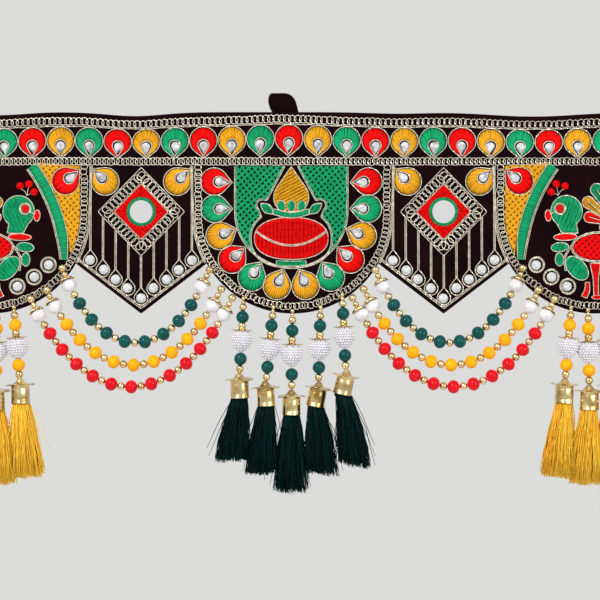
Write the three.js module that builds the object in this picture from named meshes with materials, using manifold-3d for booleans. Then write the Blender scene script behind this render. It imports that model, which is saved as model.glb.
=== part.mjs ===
// Toran door hanging: an embroidered velvet valance with five flaps, bead swags and tasselled drops.
// Millimetres, +Z up, the embroidered face looks along -Y.
// The origin is the middle of the panel's top edge, on the back of the cloth.
import * as THREE from "three";
import { mergeVertices } from "three/addons/utils/BufferGeometryUtils.js";
import Module from "manifold-3d";

const wasm = await Module();
wasm.setup();

// Velvet panel
const VELVET = 3; // velvet with its stitched backing
const FLAP_PITCH = 172.5;
const SCALLOP_CENTRES = [-2 * FLAP_PITCH, 0, 2 * FLAP_PITCH];
const PENTAGON_CENTRES = [-FLAP_PITCH, FLAP_PITCH];
const SCALLOP_RADIUS = 112;
const SCALLOP_CENTRE_Z = -117;
const PENTAGON_TIP_Z = -229;
const PENTAGON_SLOPE = 0.767;
const ROW_SHARES = [0, 0.12, 0.28, 0.5, 0.75, 1];

// How the cloth hangs: shallow waves and flap tips that curl forward, and a top edge that dips
const WAVE = { height: 1.5, length: 236, phase: 0.6, fullAtZ: -60 };
const CURL = { reach: 3, startZ: -70, endZ: -229 };
const DIP_FADES_AT_Z = -56;
const DIPS = [
  { x: -335, depth: 3.4, width: 40 },
  { x: -180, depth: 4.5, width: 45 },
  { x: 120, depth: 1.7, width: 45 },
  { x: 275, depth: 5, width: 70 },
];

// Hanging tabs
const TAB_SHEET = 1.4;
const TAB_HEIGHT = 23;
const TAB_HALF_LOOP = 4.9;
const TAB_WIDE_Z = 13;
const TAB_STEM_Z = -18;
const TAB_CLEARANCE = 0.3;
const TABS = [
  { name: "tab_left", x: -438, width: 30, lean: 0, taper: 0.1 },
  { name: "tab_centre", x: -7.8, width: 29.6, lean: -5.4, taper: 0.22 },
  { name: "tab_right", x: 438, width: 30, lean: 0, taper: 0.1 },
];

// Mirrors on the pentagons
const MIRROR_RADIUS = 13.1;
const MIRROR_THICKNESS = 1.6;
const MIRROR_Z = -113.5;
const SEWN_GAP = 0.3;

// Bead swags of the right-hand bay: ends on the scallops and the lowest point of the string
const STRING_RADIUS = 1.2;
const BEADS = {
  gold: { radius: 4.5, round: false },
  cup: { radius: 6.2, round: false },
  pearl: { radius: 8.2, round: true },
  colour: { radius: 7.25, round: true },
};
const SWAG_SIDES = 6;
const SWAG_CLEARANCE = 0.5;
const SWAGS = [
  { name: "green", colour: 0x04514c, count: 8, innerX: 92.5, innerZ: -176, outerX: 263, outerZ: -174, lowZ: -262.5 },
  { name: "yellow", colour: 0xfbaf17, count: 9, innerX: 79, innerZ: -198, outerX: 281, outerZ: -199, lowZ: -287.8 },
  { name: "red", colour: 0xdb1023, count: 11, innerX: 66.5, innerZ: -208, outerX: 299, outerZ: -209, lowZ: -312.5 },
];

// Drops: beads down to the cap's flange, then the tassel's tip. x is measured from the flap's centre line.
const DROP_SIDES = 6;
const DROP_CLEARANCE = 0.4;
const FLANGE_DISTANCE = 98.9;
const DROP_PROFILE = [
  { at: 2.4, radius: 2.5 },
  { at: 4.9, radius: 0.9 },
  { at: 7.3, radius: 2.5 },
  { at: 8.4, radius: 0.9 },
  { at: 12.8, radius: 4.6 },
  { at: 17.5, radius: 0.9 },
  { at: 21.2, radius: 6.3 },
  { at: 28.6, radius: 6.3 },
  { at: 32.2, radius: 0.9 },
  { at: 35.5, radius: 4.6 },
  { at: 41.6, radius: 10.6 },
  { at: 46.6, radius: 9.6 },
  { at: 52.6, radius: 12.4 },
  { at: 59.5, radius: 9.6 },
  { at: 64.5, radius: 4.4 },
  { at: 67.5, radius: 0.9 },
  { at: 71.1, radius: 6.3 },
  { at: 78.5, radius: 6.3 },
  { at: 82.1, radius: 0.9 },
  { at: 86.5, radius: 4.6 },
  { at: 90.6, radius: 0.9 },
];
const CAP_SIDES = 8;
const CAP_PROFILE = [
  { r: 0, down: -7.4 },
  { r: 5.2, down: -5.6 },
  { r: 6.6, down: -1 },
  { r: 15.4, down: -0.8 },
  { r: 15.4, down: 0.8 },
  { r: 10.2, down: 1.4 },
  { r: 10.8, down: 20.9 },
  { r: 9.4, down: 20.9 },
  { r: 9.4, down: 16 },
  { r: 0, down: 16 },
];
const TASSEL_HEAD = { radius: 8.9, top: 16.4, bottom: 22.5 };
const STRAND_RINGS = [
  { count: 1, rootRadius: 0, turn: 0 },
  { count: 4, rootRadius: 3.8, turn: 0.3 },
  { count: 7, rootRadius: 7.2, turn: 0 },
];
const STRAND_SIDES = 3;
const STRAND_RADII = [1.6, 2.7, 1.2];
const HEM = { halfWidth: 14.5, halfDepth: 15, unevenness: 5 };
const CENTRE_DROPS = [
  { topX: -55.6, topZ: -210, capX: -60, capZ: -304, capY: -15, lean: -2, tipX: -68, tipZ: -397 },
  { topX: -21.5, topZ: -220, capX: -30.5, capZ: -313, capY: -14, lean: -3, tipX: -34, tipZ: -412 },
  { topX: 0, topZ: -224, capX: -1, capZ: -323, capY: -14, lean: 0, tipX: -2, tipZ: -432 },
  { topX: 32, topZ: -220, capX: 29.5, capZ: -314, capY: -12, lean: 10, tipX: 31, tipZ: -412 },
  { topX: 56.5, topZ: -206, capX: 60.5, capZ: -300, capY: -18, lean: 12, tipX: 68, tipZ: -402 },
];
const SIDE_DROPS = [
  { topX: -28, topZ: -220, capX: -36, capZ: -310, capY: -12, lean: 2, tipX: -43, tipZ: -416 },
  { topX: -9, topZ: -223, capX: -9.5, capZ: -317, capY: -17, lean: 0, tipX: -13, tipZ: -423 },
  { topX: 10, topZ: -223, capX: 17, capZ: -311, capY: -12, lean: 0, tipX: 17, tipZ: -419 },
  { topX: 29, topZ: -220, capX: 43.5, capZ: -304, capY: -17, lean: -3, tipX: 48, tipZ: -408 },
];

const MATERIALS = {
  velvet: { color: 0x1d0b0f, roughness: 0.95, metalness: 0 },
  mirror: { color: 0xe8efee, roughness: 0.05, metalness: 1 },
  brass: { color: 0xc79a3e, roughness: 0.3, metalness: 1 },
  tealBeads: { color: 0x04514c, roughness: 0.2, metalness: 0 },
  yellowBeads: { color: 0xfbaf17, roughness: 0.25, metalness: 0 },
  greenThread: { color: 0x06302d, roughness: 0.7, metalness: 0 },
  yellowThread: { color: 0xf2a81c, roughness: 0.7, metalness: 0 },
};

const toran = new THREE.Group();

function addPiece(name, geometry, look) {
  const mesh = new THREE.Mesh(geometry, new THREE.MeshStandardMaterial(look));
  mesh.name = name;
  toran.add(mesh);
  return mesh;
}

// Lower edge of the panel at x: the lower of the scallop's arc and the pentagon's sloping edge
function hemZ(x) {
  let lowest = 0;
  for (const centre of SCALLOP_CENTRES) {
    const off = Math.abs(x - centre);
    if (off <= SCALLOP_RADIUS + 1e-6) {
      const drop = Math.sqrt(Math.max(0, SCALLOP_RADIUS ** 2 - off ** 2));
      lowest = Math.min(lowest, SCALLOP_CENTRE_Z - drop);
    }
  }
  for (const centre of PENTAGON_CENTRES) {
    const off = Math.abs(x - centre);
    if (off < FLAP_PITCH / 2) lowest = Math.min(lowest, PENTAGON_TIP_Z + PENTAGON_SLOPE * off);
  }
  return lowest;
}

// How far the sagging top edge lowers a point of the cloth
function sag(x, z) {
  const share = Math.max(0, 1 - z / DIP_FADES_AT_Z);
  let depth = 0;
  for (const dip of DIPS) depth += dip.depth * Math.exp(-(((x - dip.x) / dip.width) ** 2));
  return -depth * share;
}

// Y of the cloth's front face
function clothFront(x, z) {
  const down = THREE.MathUtils.smoothstep(-z, 0, -WAVE.fullAtZ);
  const wave = 0.5 * WAVE.height * (1 + Math.sin((2 * Math.PI * x) / WAVE.length + WAVE.phase));
  const curl = CURL.reach * THREE.MathUtils.smoothstep(-z, -CURL.startZ, -CURL.endZ);
  return -VELVET - wave * down - curl;
}

// A closed mesh from flat lists of points and triangles
function meshOf(points, triangles) {
  const geometry = new THREE.BufferGeometry();
  geometry.setAttribute("position", new THREE.Float32BufferAttribute(points.flat(), 3));
  geometry.setIndex(triangles.flat());
  return geometry;
}

// A closed tube of changing radius along a chain of points, its rings square to the path
function sweep(points, radii, sides) {
  const vertices = [points[0].toArray()];
  const faces = [];
  const towardsBack = new THREE.Vector3(0, 1, 0);
  points.forEach((point, i) => {
    const before = points[Math.max(0, i - 1)];
    const after = points[Math.min(points.length - 1, i + 1)];
    const along = after.clone().sub(before).normalize();
    const u = along.clone().cross(towardsBack).normalize();
    const v = along.clone().cross(u);
    for (let j = 0; j < sides; j++) {
      const angle = (2 * Math.PI * j) / sides;
      const spoke = u.clone().multiplyScalar(radii[i] * Math.cos(angle));
      spoke.addScaledVector(v, radii[i] * Math.sin(angle));
      vertices.push(spoke.add(point).toArray());
    }
  });
  vertices.push(points.at(-1).toArray());
  const ring = (i, j) => 1 + i * sides + (j % sides);
  for (let j = 0; j < sides; j++) {
    faces.push([0, ring(0, j + 1), ring(0, j)]);
    faces.push([vertices.length - 1, ring(points.length - 1, j), ring(points.length - 1, j + 1)]);
    for (let i = 0; i < points.length - 1; i++) {
      faces.push([ring(i, j), ring(i, j + 1), ring(i + 1, j + 1)]);
      faces.push([ring(i, j), ring(i + 1, j + 1), ring(i + 1, j)]);
    }
  }
  return meshOf(vertices, faces);
}

function solidOf(geometry) {
  const bare = geometry.clone();
  bare.deleteAttribute("normal");
  bare.deleteAttribute("uv");
  const merged = mergeVertices(bare, 1e-4);
  return new wasm.Manifold(
    new wasm.Mesh({
      numProp: 3,
      vertProperties: merged.attributes.position.array,
      triVerts: new Uint32Array(merged.index.array),
    }),
  );
}

function geometryOf(solid) {
  const mesh = solid.getMesh();
  const geometry = new THREE.BufferGeometry();
  geometry.setAttribute("position", new THREE.BufferAttribute(mesh.vertProperties, 3));
  geometry.setIndex(new THREE.BufferAttribute(mesh.triVerts, 1));
  return geometry;
}

// Columns of the panel's grid: even steps of angle round each scallop, even steps across each pentagon
function panelColumns() {
  const columns = [];
  for (const centre of SCALLOP_CENTRES) {
    const first = centre < 0 ? -90 : -60;
    const last = centre > 0 ? 90 : 60;
    for (let angle = first; angle <= last; angle += 10) {
      columns.push(centre + SCALLOP_RADIUS * Math.sin(THREE.MathUtils.degToRad(angle)));
    }
  }
  for (const centre of PENTAGON_CENTRES) {
    for (const off of [-74, -50, -25, 0, 25, 50, 74]) columns.push(centre + off);
  }
  return columns.sort((a, b) => a - b);
}

function panelGeometry() {
  const columns = panelColumns();
  const rows = ROW_SHARES.length;
  const points = [];
  for (const back of [false, true]) {
    for (const x of columns) {
      for (const share of ROW_SHARES) {
        const z = share * hemZ(x);
        points.push([x, clothFront(x, z) + (back ? VELVET : 0), z + sag(x, z)]);
      }
    }
  }
  const backStart = columns.length * rows;
  const at = (column, row) => column * rows + row;
  const faces = [];
  const rim = [];
  for (let c = 0; c < columns.length - 1; c++) {
    for (let r = 0; r < rows - 1; r++) {
      const corners = [at(c, r), at(c, r + 1), at(c + 1, r + 1), at(c + 1, r)];
      faces.push([corners[0], corners[1], corners[2]], [corners[0], corners[2], corners[3]]);
      const behind = corners.map((corner) => corner + backStart);
      faces.push([behind[0], behind[2], behind[1]], [behind[0], behind[3], behind[2]]);
    }
    rim.push([at(c, rows - 1), at(c + 1, rows - 1)], [at(c + 1, 0), at(c, 0)]);
  }
  for (let r = 0; r < rows - 1; r++) {
    rim.push([at(0, r), at(0, r + 1)], [at(columns.length - 1, r + 1), at(columns.length - 1, r)]);
  }
  for (const [a, b] of rim) {
    faces.push([a, a + backStart, b + backStart], [a, b + backStart, b]);
  }
  return meshOf(points, faces);
}

// Outline of the loop's side view, from the stem up round the loop and back
function traceLoop(path, halfStem, halfLoop, stemZ, topZ) {
  path.bezierCurveTo(halfStem + 0.6, stemZ + 3, halfLoop, TAB_WIDE_Z - 6, halfLoop, TAB_WIDE_Z);
  path.bezierCurveTo(halfLoop, TAB_WIDE_Z + 5, halfLoop * 0.6, topZ, 0, topZ);
  path.bezierCurveTo(-halfLoop * 0.6, topZ, -halfLoop, TAB_WIDE_Z + 5, -halfLoop, TAB_WIDE_Z);
  path.bezierCurveTo(-halfLoop, TAB_WIDE_Z - 6, -halfStem - 0.6, stemZ + 3, -halfStem, stemZ);
}

function tabGeometry(tab) {
  const outline = new THREE.Shape();
  outline.moveTo(-TAB_SHEET, TAB_STEM_Z);
  outline.lineTo(TAB_SHEET, TAB_STEM_Z);
  outline.lineTo(TAB_SHEET, 0);
  traceLoop(outline, TAB_SHEET, TAB_HALF_LOOP, 0, TAB_HEIGHT);
  outline.closePath();
  const hole = new THREE.Path();
  hole.moveTo(0.05, 1.5);
  traceLoop(hole, 0.05, TAB_HALF_LOOP - TAB_SHEET, 1.5, TAB_HEIGHT - TAB_SHEET);
  hole.closePath();
  outline.holes.push(hole);
  const geometry = new THREE.ExtrudeGeometry(outline, {
    depth: tab.width,
    bevelEnabled: false,
    curveSegments: 4,
  });
  geometry.translate(0, 0, -tab.width / 2);
  const axes = new THREE.Matrix4().makeBasis(
    new THREE.Vector3(0, 1, 0),
    new THREE.Vector3(0, 0, 1),
    new THREE.Vector3(1, 0, 0),
  );
  geometry.applyMatrix4(axes);
  const position = geometry.getAttribute("position");
  for (let i = 0; i < position.count; i++) {
    const up = Math.max(0, position.getZ(i)) / TAB_HEIGHT;
    position.setX(i, position.getX(i) * (1 - tab.taper * up) + tab.lean * up);
  }
  return geometry;
}

function addTabs() {
  for (const tab of TABS) {
    const piece = addPiece(tab.name, tabGeometry(tab), MATERIALS.velvet);
    piece.position.set(tab.x, TAB_SHEET + TAB_CLEARANCE, 0);
  }
}

function addMirrors() {
  for (const [name, x] of [
    ["mirror_left", PENTAGON_CENTRES[0]],
    ["mirror_right", PENTAGON_CENTRES[1]],
  ]) {
    const nearest = Math.min(
      clothFront(x - MIRROR_RADIUS, MIRROR_Z),
      clothFront(x + MIRROR_RADIUS, MIRROR_Z),
      clothFront(x, MIRROR_Z - MIRROR_RADIUS),
    );
    const disc = new THREE.CylinderGeometry(MIRROR_RADIUS, MIRROR_RADIUS, MIRROR_THICKNESS, 24);
    const piece = addPiece(name, disc, MATERIALS.mirror);
    piece.position.set(x, nearest - SEWN_GAP - MIRROR_THICKNESS / 2, MIRROR_Z);
  }
}

// The catenary through two ends with a given lowest height, measured along its length
function catenary(left, right, lowZ) {
  const riseLeft = left.z - lowZ;
  const riseRight = right.z - lowZ;
  let small = 1;
  let large = 2000;
  for (let step = 0; step < 60; step++) {
    const a = (small + large) / 2;
    const span = a * (Math.acosh(1 + riseLeft / a) + Math.acosh(1 + riseRight / a));
    if (span < right.x - left.x) small = a;
    else large = a;
  }
  const a = small;
  const lowX = left.x + a * Math.acosh(1 + riseLeft / a);
  const lengthLeft = a * Math.sinh(Math.acosh(1 + riseLeft / a));
  const lengthRight = a * Math.sinh(Math.acosh(1 + riseRight / a));
  const pointAt = (length) => {
    const turn = Math.asinh((length - lengthLeft) / a);
    return { x: lowX + a * turn, z: lowZ + a * (Math.cosh(turn) - 1) };
  };
  return { length: lengthLeft + lengthRight, pointAt };
}

function swagBeads(count) {
  const middle = [];
  for (let i = 0; i < count; i++) middle.push(BEADS.colour, BEADS.gold);
  const end = [BEADS.gold, BEADS.cup, BEADS.pearl];
  return [...end, BEADS.gold, ...middle, ...[...end].reverse()];
}

function swagGeometry(left, right, swag) {
  const curve = catenary(left, right, swag.lowZ);
  const beads = swagBeads(swag.count);
  const strung = beads.reduce((sum, bead) => sum + 2 * bead.radius, 0);
  const fit = curve.length / strung;
  const points = [];
  const radii = [];
  const place = (length, radius) => {
    const { x, z } = curve.pointAt(length);
    const fromEnd = Math.min(length, curve.length - length);
    const outreach = THREE.MathUtils.lerp(
      BEADS.gold.radius,
      BEADS.pearl.radius,
      THREE.MathUtils.smoothstep(fromEnd, 3, 22),
    );
    const flat = outreach * Math.cos(Math.PI / SWAG_SIDES);
    const y = clothFront(x, Math.max(z, hemZ(x))) - flat - SWAG_CLEARANCE;
    points.push(new THREE.Vector3(x, y, z));
    radii.push(radius);
  };
  let length = 0;
  place(length, STRING_RADIUS);
  for (const bead of beads) {
    const half = bead.radius * fit;
    if (bead.round) {
      place(length + 0.45 * half, bead.radius * 0.87);
      place(length + 1.55 * half, bead.radius * 0.87);
    } else {
      place(length + half, bead.radius);
    }
    length += 2 * half;
    place(length, STRING_RADIUS);
  }
  return sweep(points, radii, SWAG_SIDES);
}

function addSwags() {
  for (const swag of SWAGS) {
    const look = { color: swag.colour, roughness: 0.25, metalness: 0 };
    const inner = { x: swag.innerX, z: swag.innerZ };
    const outer = { x: swag.outerX, z: swag.outerZ };
    const mirrored = (end) => ({ x: -end.x, z: end.z });
    addPiece("swag_left_" + swag.name, swagGeometry(mirrored(outer), mirrored(inner), swag), look);
    addPiece("swag_right_" + swag.name, swagGeometry(inner, outer, swag), look);
  }
}

function dropBeads(top, flange) {
  const points = [];
  const radii = [];
  for (const { at, radius } of [{ at: 0, radius: 0.9 }, ...DROP_PROFILE]) {
    points.push(top.clone().lerp(flange, at / FLANGE_DISTANCE));
    radii.push(radius);
  }
  return sweep(points, radii, DROP_SIDES);
}

// Cap, turned about its own axis; the open end points down
function capGeometry() {
  const profile = CAP_PROFILE.map(({ r, down }) => new THREE.Vector2(r, -down));
  const geometry = new THREE.LatheGeometry(profile.reverse(), CAP_SIDES);
  return geometry.rotateX(Math.PI / 2);
}

// Tassel in the cap's axes: a round head with locks that fan out to an oval hem
function tasselGeometry(tip, seed) {
  const height = TASSEL_HEAD.bottom - TASSEL_HEAD.top;
  const head = new THREE.CylinderGeometry(TASSEL_HEAD.radius, TASSEL_HEAD.radius, height, CAP_SIDES);
  head.rotateX(Math.PI / 2);
  head.translate(0, 0, -(TASSEL_HEAD.top + TASSEL_HEAD.bottom) / 2);
  let solid = solidOf(head);
  let strand = 0;
  for (const ring of STRAND_RINGS) {
    for (let i = 0; i < ring.count; i++) {
      const angle = ring.turn + (2 * Math.PI * i) / ring.count;
      const spread = ring.rootRadius / TASSEL_HEAD.radius;
      const root = new THREE.Vector3(
        ring.rootRadius * Math.cos(angle),
        ring.rootRadius * Math.sin(angle),
        -TASSEL_HEAD.bottom + 2,
      );
      const lift = HEM.unevenness * (0.5 + 0.5 * Math.sin(seed + 2.4 * strand));
      const end = new THREE.Vector3(
        tip.x + HEM.halfWidth * spread * Math.cos(angle),
        tip.y + HEM.halfDepth * spread * Math.sin(angle),
        tip.z + lift,
      );
      const control = root.clone().add(new THREE.Vector3(0, 0, 0.45 * (end.z - root.z)));
      control.x += 0.35 * (end.x - root.x);
      control.y += 0.35 * (end.y - root.y);
      const curve = new THREE.QuadraticBezierCurve3(root, control, end);
      solid = solid.add(solidOf(sweep(curve.getPoints(STRAND_RADII.length - 1), STRAND_RADII, STRAND_SIDES)));
      strand++;
    }
  }
  return geometryOf(solid);
}

function addDrop(name, drop, centreX, beadLook, threadLook) {
  const topX = centreX + drop.topX;
  const topY = clothFront(topX, drop.topZ) - DROP_PROFILE[0].radius - DROP_CLEARANCE;
  const top = new THREE.Vector3(topX, topY, drop.topZ);
  const flange = new THREE.Vector3(centreX + drop.capX, drop.capY, drop.capZ);
  addPiece(name + "_beads", dropBeads(top, flange), beadLook);
  const cap = addPiece(name + "_cap", capGeometry(), MATERIALS.brass);
  cap.position.copy(flange);
  cap.rotation.y = THREE.MathUtils.degToRad(drop.lean);
  const tip = new THREE.Vector3(centreX + drop.tipX, drop.capY, drop.tipZ).sub(flange);
  tip.applyEuler(new THREE.Euler(0, -cap.rotation.y, 0));
  const tassel = addPiece(name + "_tassel", tasselGeometry(tip, centreX + drop.topX), threadLook);
  tassel.position.copy(cap.position);
  tassel.rotation.copy(cap.rotation);
}

function addDrops() {
  CENTRE_DROPS.forEach((drop, i) => {
    addDrop("drop_centre_" + (i + 1), drop, 0, MATERIALS.tealBeads, MATERIALS.greenThread);
  });
  SIDE_DROPS.forEach((drop, i) => {
    const mirrored = {
      ...drop,
      topX: -drop.topX,
      capX: -drop.capX,
      tipX: -drop.tipX,
      lean: -drop.lean,
    };
    const number = SIDE_DROPS.length - i;
    addDrop("drop_left_" + number, mirrored, SCALLOP_CENTRES[0], MATERIALS.yellowBeads, MATERIALS.yellowThread);
    addDrop("drop_right_" + (i + 1), drop, SCALLOP_CENTRES[2], MATERIALS.yellowBeads, MATERIALS.yellowThread);
  });
}

addPiece("velvet_panel", panelGeometry(), MATERIALS.velvet);
addTabs();
addMirrors();
addSwags();
addDrops();

export default toran;
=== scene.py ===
import math

import bpy
import numpy as np
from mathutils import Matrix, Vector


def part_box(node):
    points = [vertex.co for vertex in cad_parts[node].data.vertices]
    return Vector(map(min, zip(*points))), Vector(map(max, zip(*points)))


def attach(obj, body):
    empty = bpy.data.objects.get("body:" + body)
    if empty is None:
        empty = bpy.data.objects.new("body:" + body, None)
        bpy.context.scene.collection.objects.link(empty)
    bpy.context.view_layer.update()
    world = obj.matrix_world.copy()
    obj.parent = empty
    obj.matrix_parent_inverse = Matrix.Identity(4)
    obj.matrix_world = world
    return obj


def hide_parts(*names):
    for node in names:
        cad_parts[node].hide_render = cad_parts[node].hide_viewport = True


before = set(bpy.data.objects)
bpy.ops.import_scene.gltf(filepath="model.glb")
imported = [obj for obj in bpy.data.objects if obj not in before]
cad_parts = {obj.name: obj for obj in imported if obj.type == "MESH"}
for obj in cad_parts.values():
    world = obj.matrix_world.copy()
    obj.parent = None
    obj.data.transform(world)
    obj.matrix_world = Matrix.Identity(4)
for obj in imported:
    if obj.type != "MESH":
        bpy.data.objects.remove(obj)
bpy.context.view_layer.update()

# All sizes are in millimetres, apart from the floor's and the lights'.
# +X is to the viewer's right, +Z up, and the embroidered face looks along -Y.
MM = 0.001

# Camera and what it takes in at the cloth
VIEW_WIDTH = 687
VIEW_CENTRE = (8.6, -214.2)
LENS = 70
SENSOR = 36

# The panel and how it hangs, as in the solids
FLAP_PITCH = 172.5
SCALLOPS = (-2 * FLAP_PITCH, 0, 2 * FLAP_PITCH)
PENTAGONS = (-FLAP_PITCH, FLAP_PITCH)
HALF_WIDTH = 457
SCALLOP_RADIUS = 112
SCALLOP_Z = -117
TIP_Z = -229
TIP_SLOPE = 0.767
VELVET = 3
WAVE = {"height": 1.5, "length": 236, "phase": 0.6, "full_at": 60}
CURL = {"reach": 3, "start": 70, "end": 229}
DIP_FADES_AT = 56
DIPS = (  # x, depth, width
    (-335, 3.4, 40),
    (-180, 4.5, 45),
    (120, 1.7, 45),
    (275, 5.0, 70),
)

# Band along the top
BAND_TOP_CHAIN_Z = -10
BAND_LOW_CHAIN_Z = -56
FIELD_TOP_Z = -61
BAND_PITCH = 32.64
BAND_MOTIFS = 13
BAND_MOTIF_Z = -32
BAND_COLOURS = ("red", "yellow", "green")
BAND_END = 6

# How far the hand-sewn row is off at its left end, middle and right end, and where it bows up
BAND_SHIFTS = (-3.0, -4.0, 0.0)
BAND_RISE = {"height": 2.5, "middle": -12.0, "reach": 48.0}

# A teardrop motif at full size, and the parts of it
DROP_RADIUS = 15
DROP_TIP = 19.5
SATIN_INSIDE = 0.7
OUTLINE_OUTSIDE = 0.8
OPENING = {"radius": 6.3, "tip": 13.2, "shift": -5.2}
STONE = {"radius": 5.0, "tip": 9.7, "shift": -5.9, "height": 3.6}

# Threads and metal cords
SATIN_WIDTH = 1.05
SATIN_RISE = 1.0
LATTICE = {"pitch": 5.2, "threads": 3, "spacing": 0.9, "radius": 0.48, "step": 2.4}
CORD_RADIUS = 0.62
CORD_STEP = 1.5
CORD_LIFT = 0.75
CORD_TWIST = 1.25
PAIR_SPACING = 1.5
THIN_ENDS = {"red": 7, "yellow": 3, "green": 4}  # of so many stitches in a motif, one thins towards the rim
RARELY = 50  # so that at most one row of a small fill is thin

# Links of the chains, and how uneven each chain is
LINK = {"wire": 0.56, "segments": 16, "sides": 3, "tilt": 9.0}
BAND_TOP_LINKS = {"pitch": 6.1, "along": 8.3, "across": 8.8}
BAND_LOW_LINKS = {"pitch": 5.3, "along": 8.3, "across": 8.6}
SCALLOP_LINKS = {"pitch": 5.1, "along": 7.2, "across": 7.6, "loose": 2.0}
DIAMOND_LINKS = {"pitch": 5.5, "along": 7.4, "across": 10.6, "loose": 1.6}

RNG = np.random.default_rng(7)


def srgb(code):
    """Linear colour with alpha from a hex code."""
    channels = [int(code[i : i + 2], 16) / 255 for i in (1, 3, 5)]
    return tuple(c / 12.92 if c < 0.04045 else ((c + 0.055) / 1.055) ** 2.4 for c in channels) + (1,)


# Cloth shape

def smoothstep(value, low, high):
    t = np.clip((value - low) / (high - low), 0, 1)
    return t * t * (3 - 2 * t)


def hem_z(x):
    """Lower edge of the panel at x."""
    x = np.asarray(x, float)
    lowest = np.zeros_like(x)
    for centre in SCALLOPS:
        off = np.abs(x - centre)
        curve = SCALLOP_Z - np.sqrt(np.maximum(0, SCALLOP_RADIUS**2 - off**2))
        lowest = np.where(off <= SCALLOP_RADIUS + 1e-6, np.minimum(lowest, curve), lowest)
    for centre in PENTAGONS:
        off = np.abs(x - centre)
        lowest = np.where(off < FLAP_PITCH / 2, np.minimum(lowest, TIP_Z + TIP_SLOPE * off), lowest)
    return lowest


def sag(x, z):
    depth = sum(d * np.exp(-(((x - c) / w) ** 2)) for c, d, w in DIPS)
    return -depth * np.clip(1 + z / DIP_FADES_AT, 0, None)


def cloth_front(x, z):
    wave = 0.5 * WAVE["height"] * (1 + np.sin(2 * np.pi * x / WAVE["length"] + WAVE["phase"]))
    curl = CURL["reach"] * smoothstep(-z, CURL["start"], CURL["end"])
    return -VELVET - wave * smoothstep(-z, 0, WAVE["full_at"]) - curl


def lay(vertices):
    """Lays flat work, made as (x, -height, z), on the hanging cloth."""
    x, height, z = vertices.T
    return np.stack([x, height + cloth_front(x, z), z + sag(x, z)], 1)


# Mesh making

class Work:
    """Vertices in millimetres and faces with a material number, gathered into one piece."""

    def __init__(self):
        self.vertices = []
        self.faces = []
        self.count = 0

    def add(self, shape, material=0):
        vertices, groups = shape
        vertices = np.asarray(vertices, float).reshape(-1, 3)
        for group in groups:
            self.faces.append((np.asarray(group) + self.count, material))
        self.vertices.append(vertices)
        self.count += len(vertices)

    def piece(self, name, materials, flat=False, on_cloth=False):
        vertices = np.concatenate(self.vertices)
        if on_cloth:
            vertices = lay(vertices)
        mesh = bpy.data.meshes.new(name)
        mesh.vertices.add(len(vertices))
        mesh.vertices.foreach_set("co", (vertices * MM).ravel())
        loops = np.concatenate([faces.ravel() for faces, _ in self.faces])
        sizes = np.concatenate([np.full(len(faces), faces.shape[1]) for faces, _ in self.faces])
        slots = np.concatenate([np.full(len(faces), slot) for faces, slot in self.faces])
        mesh.loops.add(len(loops))
        mesh.loops.foreach_set("vertex_index", loops)
        mesh.polygons.add(len(sizes))
        mesh.polygons.foreach_set("loop_start", np.concatenate([[0], np.cumsum(sizes)[:-1]]))
        mesh.polygons.foreach_set("material_index", slots)
        mesh.polygons.foreach_set("use_smooth", np.full(len(sizes), not flat))
        mesh.update(calc_edges=True)
        mesh.validate()
        for material in materials:
            mesh.materials.append(material)
        made = bpy.data.objects.new(name, mesh)
        bpy.context.scene.collection.objects.link(made)
        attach(made, "root")
        return made


def tubes(paths, radii, sides, twist=0.0):
    """Closed tubes along paths, an array of (paths, points, 3), each ring turned by twist from the last."""
    paths = np.asarray(paths, float)
    count, steps, _ = paths.shape
    along = np.gradient(paths, axis=1)
    across = np.cross(along, (0, 1, 0))
    across /= np.linalg.norm(across, axis=2, keepdims=True)
    up = np.cross(along / np.linalg.norm(along, axis=2, keepdims=True), across)
    angles = 2 * np.pi * np.arange(sides) / sides + twist * np.arange(steps)[:, None]
    cosines = np.cos(angles)[None, :, :, None]
    sines = np.sin(angles)[None, :, :, None]
    spokes = cosines * across[:, :, None] + sines * up[:, :, None]
    vertices = paths[:, :, None] + np.broadcast_to(radii, (count, steps))[:, :, None, None] * spokes
    first = (np.arange(count) * steps * sides)[:, None, None]
    ring = np.arange(steps - 1)[None, :, None] * sides
    side = np.arange(sides)[None, None, :]
    here = first + ring + side
    beside = first + ring + (side + 1) % sides
    quads = np.stack([here, beside, beside + sides, here + sides], -1).reshape(-1, 4)
    starts = first[:, 0] + np.arange(sides)[::-1]
    ends = first[:, 0] + (steps - 1) * sides + np.arange(sides)
    return vertices.reshape(-1, 3), [quads, starts, ends]


def lathe(profile, sides, ripple=None):
    """A closed solid turned about Z from (radius, height) pairs, top to bottom, both ends on the axis.
    ripple(angle, radius, height) gives a changed radius and height."""
    angles = 2 * np.pi * np.arange(sides) / sides
    rings = []
    for radius, height in profile[1:-1]:
        r, h = (radius, height) if ripple is None else ripple(angles, radius, height)
        rings.append(np.stack([r * np.cos(angles), r * np.sin(angles), np.broadcast_to(h, sides)], 1))
    vertices = np.concatenate(rings + [[(0, 0, profile[0][1]), (0, 0, profile[-1][1])]])
    j = np.arange(sides)
    after = (j + 1) % sides
    upper = (np.arange(len(rings) - 1) * sides)[:, None]
    lower = upper + sides
    quads = np.stack([upper + j, lower + j, lower + after, upper + after], -1).reshape(-1, 4)
    top = len(rings) * sides
    last = top - sides
    caps = np.concatenate([
        np.stack([np.full(sides, top), j, after], 1),
        np.stack([np.full(sides, top + 1), last + after, last + j], 1),
    ])
    return vertices, [quads, caps]


def ball(radius, sides, rows, squash=1.0):
    turns = np.linspace(0, np.pi, rows + 1)
    return lathe([(radius * math.sin(t), squash * radius * math.cos(t)) for t in turns], sides)


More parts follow.
